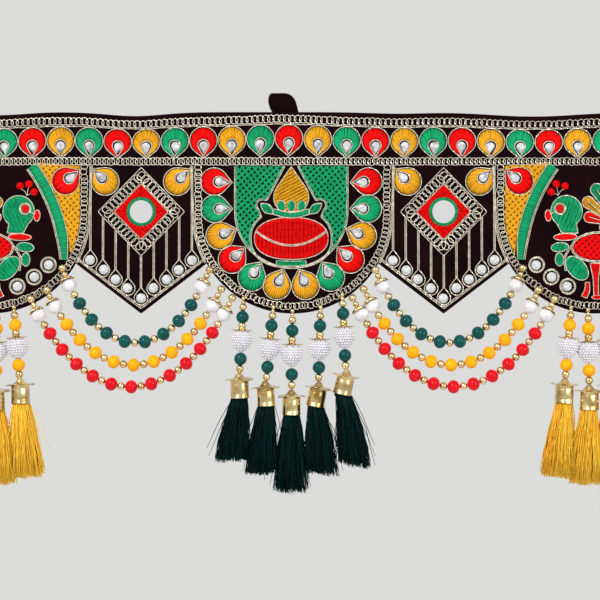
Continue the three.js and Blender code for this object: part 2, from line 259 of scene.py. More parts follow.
def copies(shape, places, turns=None):
    """Copies of a shape at places, each turned by its own 3x3 matrix."""
    vertices, groups = shape
    places = np.asarray(places, float).reshape(-1, 3)
    turned = vertices[None] if turns is None else np.einsum("nij,vj->nvi", turns, vertices)
    moved = (turned + places[:, None]).reshape(-1, 3)
    offsets = np.arange(len(places)) * len(vertices)
    return moved, [(g[None] + offsets[:, None, None]).reshape(-1, g.shape[1]) for g in groups]


# Flat outlines, as arrays of (x, z)

def lengths_along(points):
    """How far along a line each of its points is."""
    return np.concatenate([[0], np.cumsum(np.linalg.norm(np.diff(points, axis=0), axis=1))])


def points_at(points, lengths, at):
    return np.stack([np.interp(at, lengths, points[:, k]) for k in (0, 1)], 1)


def resample(points, step, closed=False):
    """The same line with points at even steps."""
    points = np.asarray(points, float)
    if closed:
        points = np.concatenate([points, points[:1]])
    lengths = lengths_along(points)
    count = max(2, int(round(lengths[-1] / step)) + 1)
    return points_at(points, lengths, np.linspace(0, lengths[-1], count))


def smooth(points):
    """A Catmull-Rom curve through the points."""
    p = np.asarray(points, float)
    p = np.concatenate([2 * p[:1] - p[1:2], p, 2 * p[-1:] - p[-2:-1]])
    t = np.arange(8)[:, None] / 8
    pieces = []
    for a, b, c, d in zip(p[:-3], p[1:-2], p[2:-1], p[3:]):
        square = 2 * a - 5 * b + 4 * c - d
        cube = 3 * b - a - 3 * c + d
        pieces.append(0.5 * (2 * b + (c - a) * t + square * t**2 + cube * t**3))
    return np.concatenate(pieces + [p[-2:-1]])


def sideways(line):
    """Unit vectors across a line, to the left of its own direction."""
    along = np.gradient(np.asarray(line, float), axis=0)
    along /= np.linalg.norm(along, axis=1, keepdims=True)
    return np.stack([-along[:, 1], along[:, 0]], 1)


def offset(points, distance):
    """The line moved sideways, to the left of its own direction for a positive distance."""
    return points + distance * sideways(points)


def oval(x, z, half_width, half_height, turn=0.0, count=40):
    t = 2 * np.pi * np.arange(count) / count
    a, b = half_width * np.cos(t), half_height * np.sin(t)
    c, s = math.cos(math.radians(turn)), math.sin(math.radians(turn))
    return np.stack([x + a * c - b * s, z + a * s + b * c], 1)


def squarish(x, z, half_width, half_height):
    """An oval with fuller shoulders than an ellipse has, a superellipse of power 2.3."""
    t = 2 * np.pi * np.arange(72) / 72
    c, s = np.cos(t), np.sin(t)
    full = 2 / 2.3
    across = half_width * np.sign(c) * np.abs(c) ** full
    return np.stack([x + across, z + half_height * np.sign(s) * np.abs(s) ** full], 1)


def arc(x, z, radius, first, last, count=16):
    """Part of a circle, between two angles in degrees."""
    t = np.radians(np.linspace(first, last, count))
    return np.stack([x + radius * np.cos(t), z + radius * np.sin(t)], 1)


def leaf_shape(root, tip, half_width):
    """A pointed leaf between two points, widest half way."""
    share = np.linspace(0, 1, 16)[:, None]
    root, tip = np.asarray(root, float), np.asarray(tip, float)
    side = np.array([root[1] - tip[1], tip[0] - root[0]]) / np.linalg.norm(tip - root)
    middle = root + (tip - root) * share
    bulge = side * half_width * np.sin(np.pi * share)
    return np.concatenate([middle + bulge, (middle - bulge)[-2:0:-1]])


def mirrored(points):
    return np.asarray(points, float) * (-1, 1)


def both_sides(half):
    """A closed outline from its right half, listed from top to bottom."""
    half = np.asarray(half, float)
    return np.concatenate([half, mirrored(half)[::-1]])


def strip(spine, half_widths):
    """Closed outline of a strip along a spine, with a half width at each of its points."""
    line = smooth(spine)
    widths = np.interp(np.linspace(0, 1, len(line)), np.linspace(0, 1, len(half_widths)), half_widths)
    side = sideways(line) * widths[:, None]
    return np.concatenate([line + side, (line - side)[::-1]])


def teardrop(radius, tip, count):
    """Even points round a teardrop whose head is centred on the origin and whose tip is at (0, -tip)."""
    turn = math.acos(radius / tip)
    turns = np.linspace(-np.pi / 2 + turn, 3 * np.pi / 2 - turn, 40)
    head = radius * np.stack([np.cos(turns), np.sin(turns)], 1)
    points = np.concatenate([[(0, -tip)], head, [(0, -tip)]])
    lengths = lengths_along(points)
    return points_at(points, lengths, np.arange(count) / count * lengths[-1])


def aimed(points, centre, tip):
    """Moves a shape made with its tip downwards so that its head is at centre and it points to tip."""
    up = np.asarray(centre, float) - np.asarray(tip, float)
    up /= np.linalg.norm(up)
    right = np.array([up[1], -up[0]])
    return np.asarray(centre) + points[:, :1] * right + points[:, 1:] * up


# Embroidery, gathered flat and laid on the cloth at the end

satin = {"red": Work(), "yellow": Work(), "green": Work()}
cords = Work()
chains = Work()
stones = Work()


def stitches(colour, starts, ends, first_radius, last_radius, rise=SATIN_RISE):
    """Raised threads between pairs of flat points, with fewer bends in short ones."""
    starts, ends = np.asarray(starts, float), np.asarray(ends, float)
    lengths = np.linalg.norm(ends - starts, axis=1)
    first = np.broadcast_to(first_radius, len(starts))
    last = np.broadcast_to(last_radius, len(starts))
    lift = RNG.normal(0, 0.06, len(starts))
    for points, chosen in ((3, lengths < 6), (4, lengths >= 6)):
        if not chosen.any():
            continue
        share = np.linspace(0, 1, points)
        flat = starts[chosen, None] * (1 - share[:, None]) + ends[chosen, None] * share[:, None]
        tops = np.minimum(rise, 0.35 * lengths[chosen, None])
        heights = 0.1 + tops * np.sin(np.pi * (0.06 + 0.88 * share)) + lift[chosen, None]
        paths = np.stack([flat[..., 0], -heights, flat[..., 1]], -1)
        radii = first[chosen, None] + (last - first)[chosen, None] * share
        satin[colour].add(tubes(paths, radii, 3))


def hatch(outlines, angle, pitch, longest, shift=0.0):
    """Starts and ends of parallel stitches at an angle that fill the space between closed outlines.
    The rows keep to one grid, moved sideways by shift."""
    turn = math.radians(angle)
    to_rows = np.array([[math.cos(turn), -math.sin(turn)], [math.sin(turn), math.cos(turn)]])
    turned = [np.asarray(outline) @ to_rows for outline in outlines]
    low = min(t[:, 1].min() for t in turned)
    high = max(t[:, 1].max() for t in turned)
    first = math.floor(low / pitch) * pitch + shift
    starts, ends = [], []
    for number, row in enumerate(np.arange(first, high, pitch)):
        crossings = []
        for points in turned:
            after = np.roll(points, -1, axis=0)
            crosses = (points[:, 1] <= row) != (after[:, 1] <= row)
            a, b = points[crosses], after[crosses]
            crossings.extend(a[:, 0] + (row - a[:, 1]) / (b[:, 1] - a[:, 1]) * (b[:, 0] - a[:, 0]))
        crossings.sort()
        for left, right in zip(crossings[::2], crossings[1::2]):
            if right - left < 0.6:
                continue
            parts = max(1, math.ceil((right - left) / longest))
            cuts = np.linspace(left, right, parts + 1)
            if parts > 1:
                cuts[1:-1] += longest * 0.3 * math.sin(2.1 * number)
            for p, q in zip(cuts[:-1], cuts[1:]):
                starts.append((p, row))
                ends.append((q, row))
    back = to_rows.T
    return np.array(starts) @ back, np.array(ends) @ back


def fill(colour, outlines, angle, longest=11.0, rise=SATIN_RISE, thin_every=5, thin=0.24):
    """Rows of stitches, some of them thin, so that the velvet shows there."""
    pitch = SATIN_WIDTH * 0.82
    starts, ends = hatch(outlines, angle, pitch, longest)
    across = np.array([-math.sin(math.radians(angle)), math.cos(math.radians(angle))])
    row = np.round(starts @ across / pitch).astype(int)
    radii = np.where(row % thin_every == 0, thin, SATIN_WIDTH / 2)
    shake = RNG.normal(0, 0.12, starts.shape)
    stitches(colour, starts + shake, ends + shake, radii, radii, rise)


def lattice(colour, outlines, threads=LATTICE["threads"]):
    """Two sets of threads in bands, crossing over and under, which leave small openings in rows."""
    groups = {}
    for turn, phase in ((41, 0.0), (-54, math.pi)):
        along = np.array([math.cos(math.radians(turn)), math.sin(math.radians(turn))])
        for number in range(threads):
            shift = (number - (threads - 1) / 2) * LATTICE["spacing"]
            starts, ends = hatch(outlines, turn, LATTICE["pitch"], math.inf, shift)
            for start, end in zip(starts, ends):
                length = np.linalg.norm(end - start)
                if length < 1.5:
                    continue
                count = max(3, int(round(length / LATTICE["step"])) + 1)
                t = np.linspace(0, 1, count)[:, None]
                line = start * (1 - t) + end * t
                height = 0.65 + 0.36 * np.sin(np.pi * (line @ along) / LATTICE["pitch"] + phase)
                groups.setdefault(count, []).append(np.stack([line[:, 0], -height, line[:, 1]], 1))
    for paths in groups.values():
        satin[colour].add(tubes(np.array(paths), LATTICE["radius"], 3))


def cord(points, closed=False, lift=CORD_LIFT, radius=CORD_RADIUS):
    """A twisted metal cord sewn along a line."""
    line = resample(points, CORD_STEP, closed)
    path = np.stack([line[:, 0], np.full(len(line), -lift), line[:, 1]], 1)
    cords.add(tubes(path[None], radius, 3, CORD_TWIST))


def cord_pair(points, lift=CORD_LIFT):
    """Two cords side by side along a line."""
    for side in (-PAIR_SPACING / 2, PAIR_SPACING / 2):
        cord(offset(resample(points, CORD_STEP), side), lift=lift)


def link(along, across):
    """One oval link lying flat, its wire twisted."""
    wire, segments, sides = LINK["wire"], LINK["segments"], LINK["sides"]
    t = 2 * np.pi * np.arange(segments) / segments
    centre = np.stack([along / 2 * np.cos(t), np.zeros(segments), across / 2 * np.sin(t)], 1)
    outward = np.stack([np.cos(t) / along, np.zeros(segments), np.sin(t) / across], 1)
    outward /= np.linalg.norm(outward, axis=1, keepdims=True)
    turn = 2 * np.pi * np.arange(sides)[None] / sides + 3 * t[:, None]
    ring = np.cos(turn)[..., None] * outward[:, None] + np.sin(turn)[..., None] * np.array([0, -1, 0])
    vertices = (centre[:, None] + wire * ring).reshape(-1, 3)
    i = np.arange(segments)[:, None] * sides
    after = (np.arange(segments)[:, None] + 1) % segments * sides
    j = np.arange(sides)[None]
    beside = (j + 1) % sides
    quads = np.stack([i + j, after + j, after + beside, i + beside], -1).reshape(-1, 4)
    return vertices, [quads]


def chain(points, pitch, along, across, closed=False, loose=1.0):
    """Overlapping links along a line, each with one side over the next, more uneven the looser it is."""
    line = resample(points, pitch, closed)
    if closed:
        line = line[:-1]
    way = np.gradient(line, axis=0)
    angle = np.arctan2(way[:, 1], way[:, 0]) + RNG.normal(0, 0.05 * loose, len(line))
    lean = math.radians(LINK["tilt"])
    c, s = np.cos(angle), np.sin(angle)
    zero = np.zeros(len(line))
    flat_turn = np.stack([
        np.stack([c, zero, -s], 1),
        np.stack([zero, zero + 1, zero], 1),
        np.stack([s, zero, c], 1),
    ], 1)
    roll = np.array([[math.cos(lean), -math.sin(lean), 0], [math.sin(lean), math.cos(lean), 0], [0, 0, 1]])
    turns = flat_turn @ roll
    shake = RNG.normal(0, 0.22 * loose, (len(line), 2))
    places = np.stack([line[:, 0] + shake[:, 0], np.full(len(line), -1.2), line[:, 1] + shake[:, 1]], 1)
    chains.add(copies(link(along, across), places, turns))


def dome(outline, height, steps, material):
    """A stone with facets: an outline drawn in step by step to its middle."""
    middle = outline.mean(axis=0)
    count = len(outline)
    rings = []
    for scale, share in steps:
        flat = middle + (outline - middle) * scale
        rings.append(np.stack([flat[:, 0], np.full(count, -0.15 - height * share), flat[:, 1]], 1))
    ends = [(middle[0], -0.15 - height, middle[1]), (middle[0], -0.1, middle[1])]
    vertices = np.concatenate(rings + [ends])
    j = np.arange(count)
    after = (j + 1) % count
    low = (np.arange(len(rings) - 1) * count)[:, None]
    quads = np.stack([low + j, low + after, low + count + after, low + count + j], -1).reshape(-1, 4)
    top = len(rings) * count
    caps = np.concatenate([
        np.stack([np.full(count, top), top - count + j, top - count + after], 1),
        np.stack([np.full(count, top + 1), after, j], 1),
    ])
    stones.add((vertices, [quads, caps]), material)


PEAR_STEPS = ((1.0, 0.0), (1.0, 0.3), (0.8, 0.72), (0.5, 0.94))
ROUND_STEPS = ((1.0, 0.0), (0.98, 0.35), (0.78, 0.7), (0.45, 0.93))


def motif(colour, centre, tip):
    """A teardrop of satin stitch with a stone in its opening and metal cord round both."""
    count = 92
    outer = teardrop(DROP_RADIUS - SATIN_INSIDE, DROP_TIP - SATIN_INSIDE, count)
    inner = teardrop(OPENING["radius"], OPENING["tip"], count) + (0, OPENING["shift"])
    starts = aimed(inner, centre, tip)
    ends = aimed(outer, centre, tip) + RNG.normal(0, 0.18, (count, 2))
    rim = np.where(np.arange(count) % THIN_ENDS[colour] == 1, 0.25, 0.62)
    stitches(colour, starts, ends, 0.4, rim)
    outline = teardrop(DROP_RADIUS + OUTLINE_OUTSIDE, DROP_TIP + OUTLINE_OUTSIDE + 0.4, 60)
    cord(aimed(outline, centre, tip), closed=True)
    cord(starts, closed=True, lift=1.1)
    askew = RNG.normal(0, 0.1)
    turn = np.array([[math.cos(askew), -math.sin(askew)], [math.sin(askew), math.cos(askew)]])
    pear = teardrop(STONE["radius"], STONE["tip"], 16) @ turn + (RNG.uniform(-1.1, 1.1), STONE["shift"])
    dome(aimed(pear, centre, tip), STONE["height"], PEAR_STEPS, 0)


def ringed_stone(x, z):
    dx, dz = RNG.normal(0, 0.5, 2)
    dome(oval(x + dx, z + dz, 5.6, 5.6, count=14), 3.0, ROUND_STEPS, 1)
    for radius, lift in ((7.7, 0.8), (8.9, 0.9)):
        cord(oval(x, z, radius, radius), closed=True, lift=lift)


# The band

def band_rise(x):
    return BAND_RISE["height"] * np.exp(-(((x - BAND_RISE["middle"]) / BAND_RISE["reach"]) ** 2))


def sew_band():
    end = HALF_WIDTH - BAND_END
    x = np.linspace(-end, end, 91)
    chain(np.stack([x, BAND_TOP_CHAIN_Z + band_rise(x)], 1), **BAND_TOP_LINKS)
    chain([(-end, BAND_LOW_CHAIN_Z), (end, BAND_LOW_CHAIN_Z)], **BAND_LOW_LINKS)
    x = np.arange(-HALF_WIDTH + 3, HALF_WIDTH - 3, CORD_STEP)
    low_edge = BAND_TOP_CHAIN_Z - 5.3 + band_rise(x) - 0.5 * np.abs(np.sin(x / 5.9))
    cord(np.stack([x, low_edge], 1), lift=0.6)
    for number in range(-BAND_MOTIFS, BAND_MOTIFS + 1):
        x = number * BAND_PITCH + np.interp(number, (-BAND_MOTIFS, 0, BAND_MOTIFS), BAND_SHIFTS)
        z = BAND_MOTIF_Z + band_rise(x)
        motif(BAND_COLOURS[number % 3], (x, z), (x, z - DROP_TIP))


# The scallops' borders, and the cords of the pentagons beside them

BORDER = {"side": 107.5, "low": 104.2}
SEAM = {"side": 116, "arc": 113.3, "turn": 29}


def border(centre):
    """Line inside a scallop's edge, down one side, round the arc and up the other."""
    turns = np.linspace(0, np.pi, 61)
    radius = BORDER["side"] + (BORDER["low"] - BORDER["side"]) * np.sin(turns) ** 2
    low_side = np.stack([centre - radius * np.cos(turns), SCALLOP_Z - radius * np.sin(turns)], 1)
    left = [(centre - BORDER["side"], FIELD_TOP_Z - 2)]
    right = [(centre + BORDER["side"], FIELD_TOP_Z - 2)]
    return np.concatenate([left, low_side, right])


def sew_scallop_borders():
    for centre in SCALLOPS:
        chain(border(centre), **SCALLOP_LINKS)
    turns = np.radians(np.linspace(0, SEAM["turn"], 12))
    for centre in PENTAGONS:
        for side in (-1, 1):
            scallop = centre + side * FLAP_PITCH
            x = scallop - side * SEAM["arc"] * np.cos(turns)
            seam = np.stack([x, SCALLOP_Z - SEAM["arc"] * np.sin(turns)], 1)
            cord_pair(np.concatenate([[(scallop - side * SEAM["side"], FIELD_TOP_Z - 1)], seam]))


# The pentagons

STEM_PITCH = 14.45
STEMS = (  # top of the stem, middle of its stone
    (-163, -212),
    (-148.5, -201),
    (-134.5, -191),
    (-120, -180),
    (-61, -169),
)
STEM_STONE = {"radius": 5.7, "height": 3.2, "ring": 7.7, "peak": 12.3, "stem": 12}
DIAMOND_Z = -113.5
RED_DIAMOND = (31, 32)  # half width, half height
CHAIN_DIAMOND = (40, 41)
OUTER_DIAMOND = (49.4, 50.4)
MIRROR_RING = {"opening": 16.2, "inside": 12.0, "outside": 16.6, "spokes": 64}
PENTAGON_MOTIF = {"x": 41, "z": -79, "tip_x": 53.8, "tip_z": -66.5}
EDGE_CORDS = {"gaps": (5.0, 7.2), "reach": 73}


def diamond(centre, half_width, half_height):
    return np.array([
        (centre, DIAMOND_Z + half_height),
        (centre + half_width, DIAMOND_Z),
        (centre, DIAMOND_Z - half_height),
        (centre - half_width, DIAMOND_Z),
    ])


def sew_pentagon(centre):
    middle = np.array([centre, DIAMOND_Z])
    corners = diamond(centre, *RED_DIAMOND)
    ring = oval(centre, DIAMOND_Z, MIRROR_RING["opening"], MIRROR_RING["opening"], count=60)
    for number, angle in enumerate((45, -45, 45, -45)):
        piece = np.array([corners[number], corners[(number + 1) % 4], middle])
        fill("red", [resample(piece, 2, closed=True)[:-1], ring_part(ring, piece)], angle, longest=9)
    turns = 2 * np.pi * np.arange(MIRROR_RING["spokes"]) / MIRROR_RING["spokes"]
    spokes = np.stack([np.cos(turns), np.sin(turns)], 1)
    inside = middle + MIRROR_RING["inside"] * spokes
    stitches("green", inside, middle + MIRROR_RING["outside"] * spokes, 0.5, 0.75, rise=1.6)
    cord(resample(corners, 2, closed=True)[:-1], closed=True)
    cord(resample(diamond(centre, *OUTER_DIAMOND), 2, closed=True), lift=0.6, radius=0.55)
    chain(resample(diamond(centre, *CHAIN_DIAMOND), 2, closed=True), closed=True, **DIAMOND_LINKS)
    place, reach = PENTAGON_MOTIF, EDGE_CORDS["reach"]
    for side in (-1, 1):
        tip = (centre + side * place["tip_x"], place["tip_z"])
        motif("yellow", (centre + side * place["x"], place["z"]), tip)
        for gap in EDGE_CORDS["gaps"]:
            cord([(centre, TIP_Z + gap), (centre + side * reach, TIP_Z + gap + TIP_SLOPE * reach)])
    for number in range(-4, 5):
        x = centre + number * STEM_PITCH
        top, stone_z = STEMS[abs(number)]
        foot = (x, stone_z + STEM_STONE["stem"])
        cord_pair([(x, top), foot])
        cord(aimed(teardrop(STEM_STONE["ring"], STEM_STONE["peak"], 40), (x, stone_z), foot), closed=True)
        dx, dz = RNG.normal(0, 0.6, 2)
        outline = oval(x + dx, stone_z + dz, STEM_STONE["radius"], STEM_STONE["radius"], count=14)
        dome(outline, STEM_STONE["height"], ROUND_STEPS, 1)


def ring_part(ring, triangle):
    """The part of a ring's outline that lies within a triangle whose last corner is the ring's middle."""
    middle = triangle[2]
    angles = np.arctan2(*(ring - middle).T[::-1])
    low, high = sorted(np.arctan2(*(triangle[:2] - middle).T[::-1]))
    if high - low > np.pi:
        low, high = high, low + 2 * np.pi
        angles = np.where(angles < low - 1e-6, angles + 2 * np.pi, angles)
    within = (angles >= low - 1e-6) & (angles <= high + 1e-6)
    order = np.argsort(angles[within])
    return np.concatenate([ring[within][order], [middle]])


# The kalash on the middle scallop

BOWL = {"half_width": 64, "z": -113, "depth": 64.5}
COCONUT = {"z": -97, "radius": 20, "tip": 35, "foot": -113.6}
LEAF = {"root": (20, -116), "tip": (35, -104), "half_width": 5}
HALO = {"top_x": 8, "round_leaf": 7, "side": 4.5, "end": 9}  # x at the top, radius at a leaf, gaps round the pot
BUD = {"z": -107, "half_width": 4.4, "half_height": 6.4}
BUDS = ((-11.2, 8), (0.3, 0), (11.8, -8))  # x and tilt
POT = {"z": -144, "half_width": 42, "half_height": 24}
GARLAND = {"half_width": 40, "end": -136, "low": -152}
KALASH_X = -1.4
KALASH_MOTIFS = (
    ("red", (-88, -79), (-69.5, -80)),
    ("green", (-87.5, -110), (-69, -110)),
    ("yellow", (-81.5, -141), (-63.5, -133.5)),
    ("red", (-67.5, -168), (-53, -154.5)),
    ("green", (-45, -188.5), (-35, -172)),
    ("yellow", (-16.3, -198), (-9, -180)),
)


def sew_kalash():
    def at(points):
        return placed(points, KALASH_X, 1)

    turns = np.linspace(0, np.pi / 2, 16)
    bowl = np.stack([BOWL["half_width"] * np.cos(turns), BOWL["z"] - BOWL["depth"] * np.sin(turns)], 1)
    top = [(BOWL["half_width"], FIELD_TOP_Z - 0.5)]
    panel = both_sides(np.concatenate([top, bowl[:-1], [(1, BOWL["z"] - BOWL["depth"])]]))
    ring = squarish(0, POT["z"], POT["half_width"] + HALO["side"], POT["half_height"] + HALO["end"])
    under = ring[(ring[:, 0] > 1) & (ring[:, 1] < LEAF["root"][1] - 2)]
    under = under[np.argsort(-under[:, 1])]
    round_leaf = arc(LEAF["tip"][0] - 2, LEAF["tip"][1] - 2, HALO["round_leaf"], 130, -50)
    halo_half = np.concatenate([[(HALO["top_x"], FIELD_TOP_Z - 0.5)], round_leaf, under])
    lattice("green", [at(resample(panel, 2, closed=True)[:-1]), at(both_sides(halo_half))])
    rim = np.concatenate([[(BOWL["half_width"], FIELD_TOP_Z - 1)], bowl])
    cord_pair(at(np.concatenate([mirrored(rim), rim[::-1][1:]])))
    for side in (1, -1):
        cord_pair(at(halo_half * (side, 1)))

    pot = at(squarish(0, POT["z"], POT["half_width"], POT["half_height"]))
    fill("red", [pot], 90, longest=9, rise=1.3)
    cord(pot, closed=True, lift=1.1)
    share = np.linspace(-1, 1, 17)
    garland_z = GARLAND["low"] + (GARLAND["end"] - GARLAND["low"]) * share**2
    cord_pair(at(np.stack([GARLAND["half_width"] * share, garland_z], 1)), lift=2.2)

    outline = teardrop(COCONUT["radius"], COCONUT["tip"], 80)
    coconut = aimed(outline, (0, COCONUT["z"]), (0, COCONUT["z"] + COCONUT["tip"]))
    coconut = at(np.maximum(coconut, (-math.inf, COCONUT["foot"])))
    buds = [at(oval(x, BUD["z"], BUD["half_width"], BUD["half_height"], tilt)) for x, tilt in BUDS]
    fill("yellow", [coconut, *buds], 28, longest=7, rise=1.2, thin_every=4, thin=0.08)
    cord(coconut, closed=True, lift=1.0)
    for bud in buds:
        fill("green", [bud], 90, rise=1.9, thin_every=RARELY)
        cord(bud, closed=True, lift=1.2, radius=0.4)
    crown = at(strip([(-20.5, -113.4), (0, -117.4), (20.5, -113.4)], [3.2, 3.4, 3.2]))
    fill("green", [crown], 84, rise=2.0, thin_every=RARELY)
    cord(crown, closed=True, lift=1.6)
    cord(at(smooth([(-18, -110.6), (0, -114.6), (18, -110.6)])), lift=2.4)
    for side in (-1, 1):
        leaf = at(leaf_shape(LEAF["root"], LEAF["tip"], LEAF["half_width"]) * (side, 1))
        fill("green", [leaf], 55 * side, rise=1.7)
        cord(leaf, closed=True, lift=1.5)

    base = at(strip([(-17, -172), (0, -172.6), (17, -172)], [2.6, 2.8, 2.6]))
    fill("green", [base], 0, longest=8)
    cord(base, closed=True)
    for colour, centre, tip in KALASH_MOTIFS:
        motif(colour, at(centre), at(tip))
        motif(colour, at(mirrored(centre)), at(mirrored(tip)))


# The peacocks on the side scallops, drawn for the right one, whose bird looks to the left

# The green arc is a parabola between these, upright at its foot
ARC = {"top": (48, -61), "foot": (85, -168)}
ARC_HALF_WIDTH = 5.4
CHAIN_INSIDE = 102.5
HEAD = {"x": -32.5, "z": -113, "radius": 18}
NECK = ((-19.5, -138), (-38, -138))
EYE = (-40.2, -110.2)
BEAK = (-53.6, -117.9, 3.4, 6.6, 4)  # these ovals: x, z, half width, half height, turn in degrees
COLLAR = (-34, -142.4, 13.5, 3.9, 2)
BREAST_LOBES = ((-40.5, -154, 10, 5.2, 6), (-41, -168, 4.8, 7.6, 0))
BELLY = (-21, -178, 16, 10, -48)
FOOT = (2, -211, 6.4, 2.3, 0)
BODY = {"x": 4, "z": -153.8, "half_width": 28.5, "half_height": 14.6, "turn": 2, "rim": 2.0}
LEG = (((0, -172.5), (0.5, -190), (0.8, -209)), (6, 3, 2.6))  # middle line, half widths
LIFTED_LEG = (((-9, -194), (-9.5, -203), (-13, -211)), (2.2, 3, 3.4))
TAIL_ROOT = (27.5, -130)
TAIL_COLOURS = ("green", "red", "yellow") * 3 + ("green",)
TAIL_ANGLES = (184, -4)  # in degrees, the feather nearest the neck and the last one
TAIL_REACH = {"shortest": 17, "left": 44, "right": 18}
TAIL_ROUND = (5.4, 7.4)  # radius of the feathers' round ends: at the sides, at the top
BERRY_RADIUS = 4.3
BERRIES = ((-44, -82), (-34, -84), (-50, -91))
BERRY_STALK = (-42, -95)
CORNER_MOTIF = {"x": 86, "z": -78.5, "tip_x": 101, "tip_z": -67}
RINGED = ((-67, -174.1), (-50.5, -188), (-31.5, -198.7))


def placed(points, centre, side):
    """Points of the right scallop's drawing, on the scallop at centre, mirrored for side -1."""
    return np.asarray(points, float) * (side, 1) + (centre, 0)


def sew_arc(centre, side, edge):
    """The satin band on one edge of a side scallop, with the lattice and the motif outside it."""
    def at(points):
        return placed(points, centre, side)

    share = np.linspace(1, 0, 24)
    (top_x, top_z), (foot_x, foot_z) = ARC["top"], ARC["foot"]
    x = edge * (foot_x + (top_x - foot_x) * share**2)
    spine = np.stack([x, foot_z + (top_z - foot_z) * share], 1)
    rows = resample(spine, 0.8)
    half = np.interp(-rows[:, 1], (0, 140, 170), (ARC_HALF_WIDTH, ARC_HALF_WIDTH, 2.6))[:, None]
    radii = np.where(np.arange(len(rows)) % 4 == 0, 0.28, SATIN_WIDTH / 2)
    stitches("green", at(offset(rows, -half)), at(offset(rows, half)), radii, radii, 1.3)
    cord(at(offset(rows, edge * (half + 0.5))))
    cord_pair(at(offset(rows, -edge * (half + 1.4))))
    turns = np.radians(np.linspace(28, 0, 8))
    rim = np.stack([edge * CHAIN_INSIDE * np.cos(turns), SCALLOP_Z - CHAIN_INSIDE * np.sin(turns)], 1)
    corner = [(edge * CHAIN_INSIDE, FIELD_TOP_Z - 0.5)]
    field = np.concatenate([offset(spine, edge * (ARC_HALF_WIDTH + 1.2)), rim, corner])
    head = (edge * CORNER_MOTIF["x"], CORNER_MOTIF["z"])
    tip = (edge * CORNER_MOTIF["tip_x"], CORNER_MOTIF["tip_z"])
    hole = aimed(teardrop(DROP_RADIUS + 0.8, DROP_TIP + 1, 40), head, tip)
    lattice("yellow", [at(resample(field, 2, closed=True)[:-1]), at(hole)], threads=4)
    motif("red", at(head), at(tip))
    for x, z in RINGED:
        ringed_stone(centre - side * edge * x, z)


def sew_peacock(centre, side):
    def at(points):
        return placed(points, centre, side)

    def shape(colour, points, angle, longest=9, thin_every=5):
        fill(colour, [at(points)], angle * side, longest, 1.3, thin_every)
        cord(at(points), closed=True, lift=1.1)

    head = np.concatenate([arc(HEAD["x"], HEAD["z"], HEAD["radius"], -52, 232, 40), NECK[::-1]])
    shape("green", head, 68, longest=12)
    fill("red", [at(oval(*EYE, 4.9, 4.9))], 0, rise=2.8, thin_every=RARELY)
    for radius in (5.6, 6.6):
        cord(at(oval(*EYE, radius, radius)), closed=True, lift=2.2, radius=0.5)
    cord(at(smooth([(-46, -113.5), (-49.5, -115.5), (-51.5, -116)])), lift=2.0)
    shape("red", oval(*BEAK), 90, thin_every=RARELY)
    shape("red", oval(*COLLAR), 88, thin_every=RARELY)
    for lobe in BREAST_LOBES:
        shape("green", oval(*lobe), 62)
    shape("green", oval(*BELLY), 52, longest=12)

    body, rim = (
        oval(BODY["x"], BODY["z"], BODY["half_width"] + gap, BODY["half_height"] + gap, BODY["turn"], 60)
        for gap in (0, BODY["rim"])
    )
    lattice("red", [at(body)], threads=4)
    cord_pair(at(np.concatenate([rim, rim[:2]])), lift=1.2)
    cord_pair(at(smooth([(-27, -152), (-35, -166), (-34, -181)])), lift=1.8)
    for outline in (strip(*LEG), oval(*FOOT), strip(*LIFTED_LEG)):
        shape("red", outline, 0, thin_every=RARELY)
    root = np.asarray(TAIL_ROOT, float)
    for share, colour in zip(np.linspace(0, 1, len(TAIL_COLOURS)), TAIL_COLOURS):
        fullness = math.sin(math.pi * share) ** 0.75
        longest = TAIL_REACH["left"] + (TAIL_REACH["right"] - TAIL_REACH["left"]) * share
        reach = TAIL_REACH["shortest"] + longest * fullness
        angle = math.radians(np.interp(share, (0, 1), TAIL_ANGLES))
        radius = np.interp(fullness, (0, 1), TAIL_ROUND)
        round_end = root + (reach * math.cos(angle), reach * math.sin(angle))
        feather = aimed(teardrop(radius, reach * 0.93, 60), round_end, root)
        heart = aimed(teardrop(radius * 0.12, reach * 0.6, 60), round_end, root)
        stitches(colour, at(heart), at(feather), 0.35, 0.6, rise=1.3)
        cord(at(feather), closed=True, lift=1.1)
        cord(at(np.stack([heart[0], heart[30]])), lift=1.9, radius=0.5)
    stalk_x, stalk_z = BERRY_STALK
    for x, z in BERRIES:
        fill("red", [at(oval(x, z, BERRY_RADIUS, BERRY_RADIUS))], 30, rise=1.9, thin_every=RARELY)
        bend = (0.4 * x + 0.6 * stalk_x, 0.5 * (z + stalk_z))
        cord(at(smooth([(x, z - 3.5), bend, BERRY_STALK])), lift=0.6, radius=0.4)


def sew_everything():
    sew_band()
    sew_scallop_borders()
    for centre in PENTAGONS:
        sew_pentagon(centre)
    sew_kalash()
    for centre, side in ((SCALLOPS[2], 1), (SCALLOPS[0], -1)):
        sew_arc(centre, side, -1)
        sew_arc(centre, side, 1)
        sew_peacock(centre, side)


# Materials

def node_material(name):
    material = bpy.data.materials.new(name)
    material.use_nodes = True
    nodes = material.node_tree.nodes
    return material, nodes, material.node_tree.links, nodes["Principled BSDF"]


def add_noise(nodes, links, scale, detail=3.0):
    place = nodes.new("ShaderNodeTexCoord")
    noise = nodes.new("ShaderNodeTexNoise")
    noise.inputs["Scale"].default_value = scale
    noise.inputs["Detail"].default_value = detail
    links.new(place.outputs["Object"], noise.inputs["Vector"])
    return noise


def colour_by(nodes, links, shader, source, low, high, start=0.3, stop=0.7):
    ramp = nodes.new("ShaderNodeValToRGB")
    ramp.color_ramp.elements[0].position = start
    ramp.color_ramp.elements[0].color = low
    ramp.color_ramp.elements[1].position = stop
    ramp.color_ramp.elements[1].color = high
    links.new(source, ramp.inputs["Fac"])
    links.new(ramp.outputs["Color"], shader.inputs["Base Color"])


